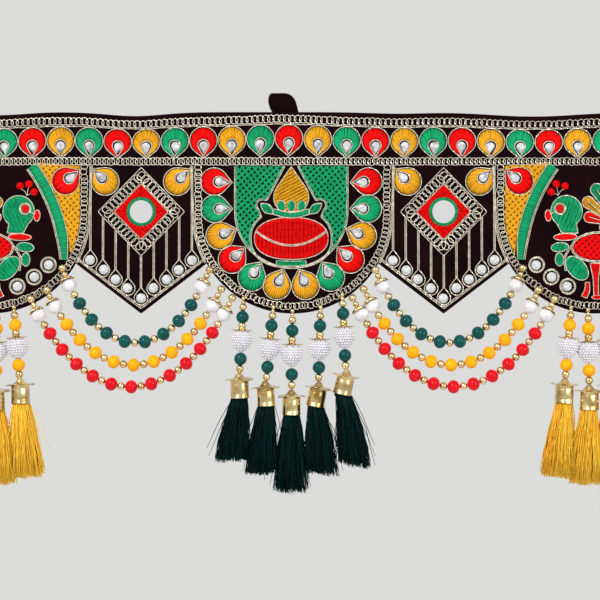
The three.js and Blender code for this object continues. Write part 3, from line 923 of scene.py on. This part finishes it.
def bump_by(nodes, links, shader, source, strength, distance):
    bump = nodes.new("ShaderNodeBump")
    bump.inputs["Strength"].default_value = strength
    bump.inputs["Distance"].default_value = distance
    links.new(source, bump.inputs["Height"])
    links.new(bump.outputs["Normal"], shader.inputs["Normal"])


def set_inputs(shader, values):
    for name, value in values.items():
        shader.inputs[name].default_value = value


def uneven_material(name, low, high, patches, grain, bump, values, detail=3, depth=0.0003):
    """Colour in soft patches from low to high, a fine bumpy grain, and the shader's other values."""
    material, nodes, links, shader = node_material(name)
    tone = add_noise(nodes, links, patches, detail)
    colour_by(nodes, links, shader, tone.outputs["Fac"], srgb(low), srgb(high))
    surface = add_noise(nodes, links, grain, 2)
    bump_by(nodes, links, shader, surface.outputs["Fac"], bump, depth)
    set_inputs(shader, values)
    return material


def velvet_material():
    return uneven_material("velvet", "#0d0506", "#1c090d", 26, 1500, 0.6, {
        "Roughness": 0.95,
        "Specular IOR Level": 0.03,
        "Sheen Weight": 0.05,
        "Sheen Roughness": 0.35,
        "Sheen Tint": srgb("#8a4a55"),
    }, detail=4, depth=0.0006)


def thread_material(name, low, high, sheen=0.05, specular=0.16):
    """Silky thread: each strand of its own shade from low to high, with fine fibres along it."""
    material, nodes, links, shader = node_material(name)
    place = nodes.new("ShaderNodeNewGeometry")
    colour_by(nodes, links, shader, place.outputs["Random Per Island"], srgb(low), srgb(high), 0.0, 1.0)
    fibres = add_noise(nodes, links, 2600, 1)
    bump_by(nodes, links, shader, fibres.outputs["Fac"], 0.35, 0.0002)
    set_inputs(shader, {
        "Roughness": 0.42,
        "Specular IOR Level": specular,
        "Sheen Weight": sheen,
        "Sheen Tint": srgb(high),
    })
    return material


def metal_material(name, low, high, roughness, grain, bump=0.15, metallic=1.0):
    values = {"Metallic": metallic, "Roughness": roughness}
    return uneven_material(name, low, high, grain / 6, grain, bump, values)


def gloss_material(name, low, high, roughness=0.16, coat=0.4, bump=0.05, specular=0.5, grain=120):
    return uneven_material(name, low, high, grain, 500, bump, {
        "Roughness": roughness,
        "Specular IOR Level": specular,
        "Coat Weight": coat,
        "Coat Roughness": 0.08,
    })


LOOKS = {
    "velvet": velvet_material(),
    "red_satin": thread_material("red_satin", "#e80c0c", "#ff0e0e", specular=0.08),
    "yellow_satin": thread_material("yellow_satin", "#e5a21d", "#ffbf24"),
    "green_satin": thread_material("green_satin", "#0f9a65", "#13be7e"),
    "zari": metal_material("zari", "#cdc5b0", "#fdf8ea", 0.3, grain=1400, metallic=0.75),
    "stone": gloss_material("stone", "#85878c", "#e6e6e8", roughness=0.12, coat=0.8, grain=190),
    "white_stone": gloss_material("white_stone", "#a2a6a8", "#e2e3e4", roughness=0.3, bump=0.3, grain=420),
    "mirror": metal_material("mirror", "#fbfbff", "#ffffff", 0.05, grain=60, bump=0.02),
    "gold": metal_material("gold", "#cdae72", "#f1dcb0", 0.2, grain=500),
    "brass": metal_material("brass", "#a07a3a", "#fdebb2", 0.22, grain=420, bump=0.4),
    "teal_beads": gloss_material("teal_beads", "#003f3e", "#005551", coat=0.15, specular=0.12),
    "yellow_beads": gloss_material("yellow_beads", "#f7a403", "#ffb70c", coat=0.15, specular=0.12),
    "red_beads": gloss_material("red_beads", "#cc0412", "#e60a1c", coat=0.15, specular=0.12),
    "pearl": gloss_material("pearl", "#d0cace", "#efecf1", roughness=0.24, coat=0.6),
    "seed_pearl": gloss_material("seed_pearl", "#d2cfd8", "#f3f1f7", roughness=0.3, coat=0.2, grain=400),
    "green_thread": thread_material("green_thread", "#010c0c", "#032f2c", sheen=0.02, specular=0.06),
    "yellow_thread": thread_material("yellow_thread", "#ffb22c", "#ffdc48", sheen=0.15),
}


def stand_in(work, name, looks, solid, flat=False):
    """One finished piece in place of a solid."""
    piece = work.piece(name, [LOOKS[look] for look in looks], flat)
    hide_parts(solid)
    return piece


# The velvet

def panel_columns():
    columns = []
    for centre in SCALLOPS:
        first = -90 if centre < 0 else -60
        last = 90 if centre > 0 else 60
        turns = np.radians(np.arange(first, last + 0.1, 3))
        columns.extend(centre + SCALLOP_RADIUS * np.sin(turns))
    for centre in PENTAGONS:
        columns.extend(centre + np.linspace(-74.5, 74.5, 43))
    return np.sort(columns)


def make_velvet():
    """The panel: front and back grids joined by a rounded rim."""
    columns = panel_columns()
    shares = np.linspace(0, 1, 27)
    x = np.repeat(columns, len(shares))
    z = (hem_z(columns)[:, None] * shares[None]).ravel()
    front = lay(np.stack([x, np.zeros_like(x), z], 1))
    back = front + (0, VELVET, 0)
    rows = len(shares)
    count = len(columns)
    grid = np.arange(count * rows).reshape(count, rows)
    quads = np.stack([grid[:-1, :-1], grid[:-1, 1:], grid[1:, 1:], grid[1:, :-1]], -1).reshape(-1, 4)
    loop = np.concatenate([grid[0], grid[1:, -1], grid[-1, -2::-1], grid[-2:0:-1, 0]])
    middle = (front[loop] + back[loop]) / 2
    way = np.roll(middle, -1, 0) - np.roll(middle, 1, 0)
    inward = np.stack([way[:, 2], np.zeros(len(loop)), -way[:, 0]], 1)
    inward /= np.linalg.norm(inward, axis=1, keepdims=True)
    rim = middle + 0.7 * inward
    total = count * rows
    ring = 2 * total + np.arange(len(loop))
    after = np.roll(np.arange(len(loop)), -1)
    sides = np.concatenate([
        np.stack([loop, ring, ring[after], loop[after]], 1),
        np.stack([ring, loop + total, loop[after] + total, ring[after]], 1),
    ])
    work = Work()
    work.add((np.concatenate([front, back, rim]), [quads, quads[:, ::-1] + total, sides]))
    return stand_in(work, "velvet_cloth", ["velvet"], "velvet_panel")


# Hanging tabs

TAB_SHEET = 1.4
UPRIGHT_EDGES = (  # share of the height, left edge and right edge from the middle
    (0.0, -15.0, 15.0),
    (0.8, -13.8, 13.8),
    (0.93, -12.8, 12.8),
    (1.0, -9.8, 9.8),
)
LEANING_EDGES = (  # the same, for the tab that leans and bulges to the left
    (0.0, -14.8, 14.8),
    (0.25, -18.0, 13.6),
    (0.5, -19.8, 12.0),
    (0.7, -19.8, 9.8),
    (0.85, -19.0, 6.8),
    (0.95, -17.6, 3.2),
    (1.0, -15.0, -1.5),
)
TABS = (  # name, middle, width at the heading, its two edges
    ("left", -438, 30, UPRIGHT_EDGES),
    ("centre", -7.8, 29.6, LEANING_EDGES),
    ("right", 438, 30, UPRIGHT_EDGES),
)
TAB_HEIGHT = 23
TAB_LOOP = ((1.4, 0), (4.3, 7), (4.9, 13), (3.6, 19.5), (0, 23))
TAB_TAIL = ((0.75, -18), (0.75, -9))


def make_tab(name, middle, width, edges):
    """A ribbon up the back, round the loop and down the front, with both ends behind the heading."""
    half = np.asarray(TAB_LOOP, float) - (TAB_SHEET / 2, 0)
    half[-1] = (0, TAB_HEIGHT - TAB_SHEET / 2)
    half = np.concatenate([TAB_TAIL, half])
    loop = smooth(np.concatenate([half, mirrored(half)[-2::-1]]))
    normal = -sideways(loop)
    heights, lefts, rights = np.asarray(edges).T
    shares = np.linspace(0, 1, 9)
    rows = []
    for depth in (-TAB_SHEET / 2 + 0.05, TAB_SHEET / 2 - 0.05):
        line = loop + normal * depth
        up = line[:, 1] / TAB_HEIGHT
        left = np.interp(up, heights, lefts)
        right = np.interp(up, heights, rights)
        for share in shares:
            x = middle + left * (1 - share) + right * share
            rows.append(np.stack([x, line[:, 0] + TAB_SHEET + 0.3, line[:, 1]], 1))
    section = np.array(rows[: len(shares)] + rows[len(shares) :][::-1])
    count, steps = section.shape[:2]
    grid = np.arange(count * steps).reshape(count, steps)
    after = np.roll(grid, -1, axis=0)
    quads = np.stack([grid[:, :-1], after[:, :-1], after[:, 1:], grid[:, 1:]], -1).reshape(-1, 4)
    ends = [grid[::-1, 0][None], grid[:, -1][None]]
    work = Work()
    work.add((section.reshape(-1, 3), [quads, *ends]))
    piece = stand_in(work, "tab_loop_" + name, ["velvet"], "tab_" + name)


# Mirrors

def make_mirrors():
    for name in ("left", "right"):
        disc = lathe([(0, 0.8), (12.2, 0.8), (13.0, 0.2), (13.0, -0.8), (0, -0.8)], 64)
        turned = disc[0][:, [0, 2, 1]] * (1, -1, 1)
        low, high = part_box("mirror_" + name)
        middle = [(a + b) / 2 / MM for a, b in zip(low, high)]
        work = Work()
        work.add((turned + middle, disc[1]))
        stand_in(work, "mirror_disc_" + name, ["mirror"], "mirror_" + name, flat=True)


# Beads

COLOUR_BEAD = 7.25
GOLD_BEAD = 4.5
PEARL_BEAD = 8.2
PLUMP = 1.06  # strung beads are wider than they are long
STRING = 0.45
SWAG_CLEARANCE = 0.5
SWAG_SIDES = 6
SWAGS = (  # name, beads, inner end, outer end, lowest point
    ("green", 8, (92.5, -176), (263, -174), -262.5),
    ("yellow", 9, (79, -198), (281, -199), -287.8),
    ("red", 11, (66.5, -208), (299, -209), -312.5),
)
BEAD_LOOK = {"green": "teal_beads", "yellow": "yellow_beads", "red": "red_beads"}


def turns_to(directions):
    """Matrices that turn a shape's -Z along each direction."""
    up = -np.asarray(directions, float)
    up /= np.linalg.norm(up, axis=1, keepdims=True)
    side = np.cross((0, 1, 0), up)
    side /= np.linalg.norm(side, axis=1, keepdims=True)
    return np.stack([side, np.cross(up, side), up], 2)


def petalled(petals, depth, curl):
    """Pointed petals round a turned shape, whose tips turn up for a curl above 0 and down below it."""
    def ripple(angles, radius, height):
        share = depth * (1 - 2 * np.abs(np.sin(petals * angles / 2)))
        return radius * (1 + share), height + curl * radius * np.maximum(0, share)
    return ripple


def flower_cup(radius, height):
    """A thin cup of six petals over a bead, open side down."""
    profile = [(0, 0.9), (0.35 * radius, 0.7), (0.72 * radius, -0.2 * height), (radius, -height),
               (0.9 * radius, -height - 0.2), (0.6 * radius, -0.4 * height), (0, -0.3)]
    return lathe(profile, 36, petalled(6, 0.13, -0.2))


def star_cap():
    """A little bell on a thin star of eight points."""
    profile = [
        (0, 3.2), (2.6, 3.0), (3.2, 1.8), (5.2, 0.7), (7.5, 0.3), (10.3, 0.4), (10.3, 0.0),
        (7.4, -0.2), (4, -0.2), (0, -0.2),
    ]
    return lathe(profile, 32, petalled(8, 0.2, 0.5))


def catenary(left, right, low):
    rise_left, rise_right = left[1] - low, right[1] - low
    small, large = 1.0, 2000.0
    for _ in range(60):
        a = (small + large) / 2
        span = a * (math.acosh(1 + rise_left / a) + math.acosh(1 + rise_right / a))
        small, large = (a, large) if span < right[0] - left[0] else (small, a)
    start = -a * math.sinh(math.acosh(1 + rise_left / a))
    end = a * math.sinh(math.acosh(1 + rise_right / a))
    low_x = left[0] + a * math.acosh(1 + rise_left / a)

    def point(length):
        turn = np.arcsinh((np.asarray(length) + start) / a)
        return low_x + a * turn, low + a * (np.cosh(turn) - 1)
    return end - start, point


def make_swag(side, name, count, left, right, low):
    length, point = catenary(left, right, low)
    middle = ["colour", "gold"] * count
    order = ["gold", "cup", "pearl", "gold", *middle, "pearl", "cup", "gold"]
    half = {"gold": GOLD_BEAD, "cup": 4.6, "pearl": PEARL_BEAD, "colour": COLOUR_BEAD}
    fit = length / (2 * sum(half[bead] for bead in order))
    edges = np.concatenate([[0], np.cumsum([2 * half[bead] * fit for bead in order])])
    centres = (edges[:-1] + edges[1:]) / 2

    def spot(at):
        x, z = point(at)
        fullness = smoothstep(np.minimum(at, length - at), 3, 22)
        reach = PLUMP * (GOLD_BEAD + (PEARL_BEAD - GOLD_BEAD) * fullness)
        y = cloth_front(x, np.maximum(z, hem_z(x))) - reach * math.cos(math.pi / SWAG_SIDES) - SWAG_CLEARANCE
        return np.stack([x, y, z], -1)

    places = spot(centres)
    ways = spot(centres + 0.5) - spot(centres - 0.5)
    turns = turns_to(ways)
    kind = np.array(order)
    work = Work()
    for bead, shape, look in (
        ("colour", ball(COLOUR_BEAD * PLUMP, 22, 14, fit / PLUMP), 0),
        ("gold", ball(GOLD_BEAD * PLUMP, 14, 9, fit / PLUMP), 1),
        ("pearl", ball(PEARL_BEAD * PLUMP, 24, 16, fit / PLUMP), 2),
    ):
        chosen = kind == bead
        work.add(copies(shape, places[chosen], turns[chosen]), look)
    for index in np.flatnonzero(kind == "cup"):
        towards_pearl = 1 if index < len(order) / 2 else -1
        way = ways[index : index + 1] * towards_pearl
        step = way[0] / np.linalg.norm(way)
        work.add(copies(flower_cup(8.4, 4.0), places[index] + step * 3.2, turns_to(way)), 1)
        work.add(copies(ball(3.6, 14, 8), places[index] - step), 1)
    line = spot(np.linspace(0.5, length - 0.5, 90))
    work.add(tubes(line[None], STRING, 5), 1)
    look = BEAD_LOOK[name]
    stand_in(work, f"beads_{side}_{name}", [look, "gold", "pearl"], f"swag_{side}_{name}")


def make_swags():
    for name, count, inner, outer, low in SWAGS:
        make_swag("right", name, count, inner, outer, low)
        make_swag("left", name, count, (-outer[0], outer[1]), (-inner[0], inner[1]), low)


# Drops

DROP_TOP_RADIUS = 2.5
DROP_CLEARANCE = 0.4
CENTRE_DROPS = (  # top x, top z, cap x, cap y, cap z, lean in degrees, tassel tip x, tip z
    (-55.6, -210, -60, -15, -304, -2, -68, -397),
    (-21.5, -220, -30.5, -14, -313, -3, -34, -412),
    (0, -224, -1, -14, -323, 0, -2, -432),
    (32, -220, 29.5, -12, -314, 10, 31, -412),
    (56.5, -206, 60.5, -18, -300, 12, 68, -402),
)
SIDE_DROPS = (
    (-28, -220, -36, -12, -310, 2, -43, -416),
    (-9, -223, -9.5, -17, -317, 0, -13, -423),
    (10, -223, 17, -12, -311, 0, 17, -419),
    (29, -220, 43.5, -17, -304, -3, 48, -408),
)
FLANGE_DISTANCE = 98.9  # from a drop's top, as are the distances that follow
GOLD_BALLS = ((2.5, 2.6), (2.5, 7.3), (4.6, 13.2), (4.6, 35.2), (4.6, 86.3))  # radius, distance
COLOURED_BALLS = ((7.3, 24.9), (7.3, 74.6))
STAR_DISTANCE = 41.4
PEARL_BALL_DISTANCE = 52.6
DROP_STRING = {"radius": 0.6, "bends": (0.2, 30, 60, 91.5)}
SEED_PEARL = 1.5
PEARL_ROWS = (  # height, radius
    (9.2, 7.2), (6.4, 9.8), (3.6, 11.1), (0.8, 11.4), (-2.0, 11.0), (-4.8, 9.9), (-7.5, 8.0), (-10.0, 5.6),
    (-12.0, 2.8),
)
THREADS = 700
TASSEL_ROOT = {"radius": 8.7, "z": -17.5}
HEM_HALF_WIDTH = 19.0
HEM_HALF_DEPTH = 14.8


def pearl_ball():
    """A ball, wide above and narrow below, covered with rows of seed pearls."""
    seed = ball(SEED_PEARL, 8, 5)
    places = []
    for number, (height, radius) in enumerate(PEARL_ROWS):
        count = int(2 * math.pi * radius / (2 * SEED_PEARL))
        turns = 2 * np.pi * (np.arange(count) + 0.5 * (number % 2)) / count
        places.append(np.stack([radius * np.cos(turns), radius * np.sin(turns), np.full(count, height)], 1))
    core = [(0, 9.5)] + [(radius - 0.4, height) for height, radius in PEARL_ROWS] + [(0, -12.4)]
    return copies(seed, np.concatenate(places)), lathe(core, 20)


def make_drop_beads(name, top, flange, look):
    axis = (flange - top) / FLANGE_DISTANCE

    def at(distance):
        return top + axis * distance

    turn = turns_to([axis])
    work = Work()
    for radius, distance in GOLD_BALLS:
        work.add(copies(ball(radius, 16, 10), [at(distance)]), 1)
    for radius, distance in COLOURED_BALLS:
        work.add(copies(ball(radius, 22, 14), [at(distance)]), 0)
    work.add(copies(star_cap(), [at(STAR_DISTANCE)], turn), 1)
    for shape in pearl_ball():
        work.add(copies(shape, [at(PEARL_BALL_DISTANCE)], turn), 2)
    bends = np.array([[at(distance) for distance in DROP_STRING["bends"]]])
    work.add(tubes(bends, DROP_STRING["radius"], 5), 1)
    stand_in(work, name + "_string", [look, "gold", "seed_pearl"], name + "_beads")


def cap_shape(seed):
    """Domed top, thin wavy flange and a cylinder with a beaded rim and two pressed grooves."""
    def ripple(angles, radius, height):
        share = np.clip((radius - 9) / 6, 0, 1) * (height > -0.9)
        if height < -3:
            dents = 0.012 * np.sin(7 * angles + seed) + 0.008 * np.sin(3 * angles - height / 4)
            radius = radius * (1 + dents)
        wavy = 0.45 * np.sin(5 * angles + seed) + 0.8 * np.sin(2 * angles + 2.1 * seed)
        return radius * (1 + 0.03 * share * np.sin(6 * angles + seed)), height + share * wavy

    profile = [
        (0, 7.4), (1.8, 7.3), (3.0, 6.5), (3.4, 5.4), (4.6, 4.6), (4.7, 3.6), (6.2, 2.4), (7.6, 1.0),
        (11, 0.5), (15.7, 0.35), (16.1, 0.0), (15.7, -0.3), (11.2, -0.4), (10.1, -1.0), (10.2, -3.4), (9.95, -4),
        (10.2, -4.6),
        (10.35, -15.5), (10.1, -16.1), (10.4, -16.7), (10.5, -19.6), (10.9, -20.3), (10.8, -20.9),
        (9.8, -20.9), (9.6, -20), (9.6, -16), (0, -16),
    ]
    return lathe(profile, 40, ripple)


def lean_matrix(lean):
    c, s = math.cos(math.radians(lean)), math.sin(math.radians(lean))
    return np.array([[c, 0, s], [0, 1, 0], [-s, 0, c]])


def make_cap(name, flange, lean, seed):
    work = Work()
    work.add(copies(cap_shape(seed), [flange], lean_matrix(lean)[None]))
    stand_in(work, name + "_brass", ["brass"], name + "_cap")


def make_tassel(name, flange, lean, tip, look):
    """Fine threads from a bound head in the cap to an uneven hem."""
    turn = lean_matrix(lean)
    goal = (tip - flange) @ turn
    spread = np.sqrt(RNG.random(THREADS))
    angle = 2 * np.pi * RNG.random(THREADS)
    c, s = spread * np.cos(angle), spread * np.sin(angle)
    radius = TASSEL_ROOT["radius"]
    root = np.stack([radius * c, radius * s, np.full(THREADS, TASSEL_ROOT["z"])], 1)
    uneven = 8 * RNG.random(THREADS) ** 2 + 1.6 * (1 + np.sin(6 * c + 4 * s + 2 * np.pi * RNG.random()))
    end = np.stack([goal[0] + HEM_HALF_WIDTH * c, goal[1] + HEM_HALF_DEPTH * s, goal[2] + uneven], 1)
    end[:, :2] += RNG.normal(0, 1.4, (THREADS, 2))
    stray = RNG.random(THREADS) < 0.05
    end[stray, 0] += RNG.normal(0, 9, stray.sum())
    end[stray, 2] += np.abs(RNG.normal(6, 9, stray.sum()))
    control = root + (end - root) * (0.55, 0.55, 0.42)
    t = np.linspace(0, 1, 5)[None, :, None]
    paths = root[:, None] * (1 - t) ** 2 + control[:, None] * 2 * t * (1 - t) + end[:, None] * t**2
    wobble = RNG.normal(0, 0.95, (THREADS, 5, 2)) * np.array([0, 0.5, 1, 1, 1])[None, :, None]
    paths[..., :2] += wobble
    radii = np.array([0.45, 0.5, 0.5, 0.45, 0.3])
    work = Work()
    vertices, groups = tubes(paths, radii, 3)
    work.add((vertices @ turn.T + flange, groups))
    core = lathe([(0, -16.4), (8.6, -16.4), (8.9, -19), (8.6, -24), (0, -30)], 24)
    work.add((core[0] @ turn.T + flange, core[1]))
    stand_in(work, name + "_threads", [look], name + "_tassel")


def make_drop(name, row, centre, side, bead_look, thread_look):
    top_x, top_z, cap_x, cap_y, cap_z, lean, tip_x, tip_z = row
    top_x, cap_x, tip_x, lean = (side * v for v in (top_x, cap_x, tip_x, lean))
    top_y = float(cloth_front(centre + top_x, top_z)) - DROP_TOP_RADIUS - DROP_CLEARANCE
    top = np.array([centre + top_x, top_y, top_z])
    flange = np.array([centre + cap_x, cap_y, cap_z], float)
    tip = np.array([centre + tip_x, cap_y, tip_z], float)
    make_drop_beads(name, top, flange, bead_look)
    make_cap(name, flange, lean, centre + cap_x)
    make_tassel(name, flange, lean, tip, thread_look)


def make_drops():
    for number, row in enumerate(CENTRE_DROPS, 1):
        make_drop(f"drop_centre_{number}", row, 0, 1, "teal_beads", "green_thread")
    last = len(SIDE_DROPS) + 1
    for number, row in enumerate(SIDE_DROPS, 1):
        make_drop(f"drop_left_{last - number}", row, SCALLOPS[0], -1, "yellow_beads", "yellow_thread")
        make_drop(f"drop_right_{number}", row, SCALLOPS[2], 1, "yellow_beads", "yellow_thread")


# The camera, and the floor and lights in metres

FLOOR = {"half": 2.6, "z": -1.9}
LIGHTS = (  # name, place, size, power
    ("key", (-0.9, -1.5, 0.9), 0.8, 24),
    ("fill", (1.2, -1.3, 0.1), 0.9, 9),
)
LIT_SPOT = (0, 0, -0.2)


def make_camera():
    lens = bpy.data.cameras.new("camera")
    lens.lens = LENS
    lens.sensor_width = SENSOR
    camera = bpy.data.objects.new("camera", lens)
    distance = VIEW_WIDTH * LENS / SENSOR
    camera.location = (VIEW_CENTRE[0] * MM, -distance * MM, VIEW_CENTRE[1] * MM)
    camera.rotation_euler = (math.pi / 2, 0, 0)
    bpy.context.scene.collection.objects.link(camera)
    bpy.context.scene.camera = camera


def make_light(name, place, size, power):
    data = bpy.data.lights.new(name, "AREA")
    data.size = size
    data.energy = power
    lamp = bpy.data.objects.new(name, data)
    lamp.location = place
    way = np.asarray(LIT_SPOT, float) - np.asarray(place, float)
    lamp.rotation_euler = (
        math.atan2(math.hypot(way[0], way[1]), -way[2]),
        0,
        math.atan2(way[1], way[0]) - math.pi / 2,
    )
    bpy.context.scene.collection.objects.link(lamp)


def make_stage():
    floor = bpy.data.meshes.new("floor")
    half, z = FLOOR["half"], FLOOR["z"]
    corners = [(-half, -half, z), (half, -half, z), (half, half, z), (-half, half, z)]
    floor.from_pydata(corners, [], [(0, 1, 2, 3)])
    made = bpy.data.objects.new("floor", floor)
    material, nodes, links, shader = node_material("floor")
    grain = add_noise(nodes, links, 3, 2)
    colour_by(nodes, links, shader, grain.outputs["Fac"], srgb("#f0f0ee"), srgb("#f8f8f6"))
    shader.inputs["Roughness"].default_value = 0.8
    floor.materials.append(material)
    bpy.context.scene.collection.objects.link(made)
    world = bpy.data.worlds.new("studio")
    world.use_nodes = True
    background = world.node_tree.nodes["Background"]
    background.inputs["Color"].default_value = srgb("#dcdcda")
    background.inputs["Strength"].default_value = 1.0
    bpy.context.scene.world = world
    bpy.context.scene.view_settings.view_transform = "Standard"
    for light in LIGHTS:
        make_light(*light)


make_camera()
velvet_cloth = make_velvet()
for tab in TABS:
    make_tab(*tab)
make_mirrors()
make_swags()
make_drops()
sew_everything()
sewn = [(work, "satin_" + shade, [shade + "_satin"], "velvet", False) for shade, work in satin.items()]
sewn += [
    (cords, "zari_cords", ["zari"], "brass", True),
    (chains, "zari_chains", ["zari"], "brass", True),
    (stones, "sewn_stones", ["stone", "white_stone"], "mirror", True),
]
for work, name, looks, slot, flat in sewn:
    piece = work.piece(name, [LOOKS[look] for look in looks], flat, on_cloth=True)
make_stage()
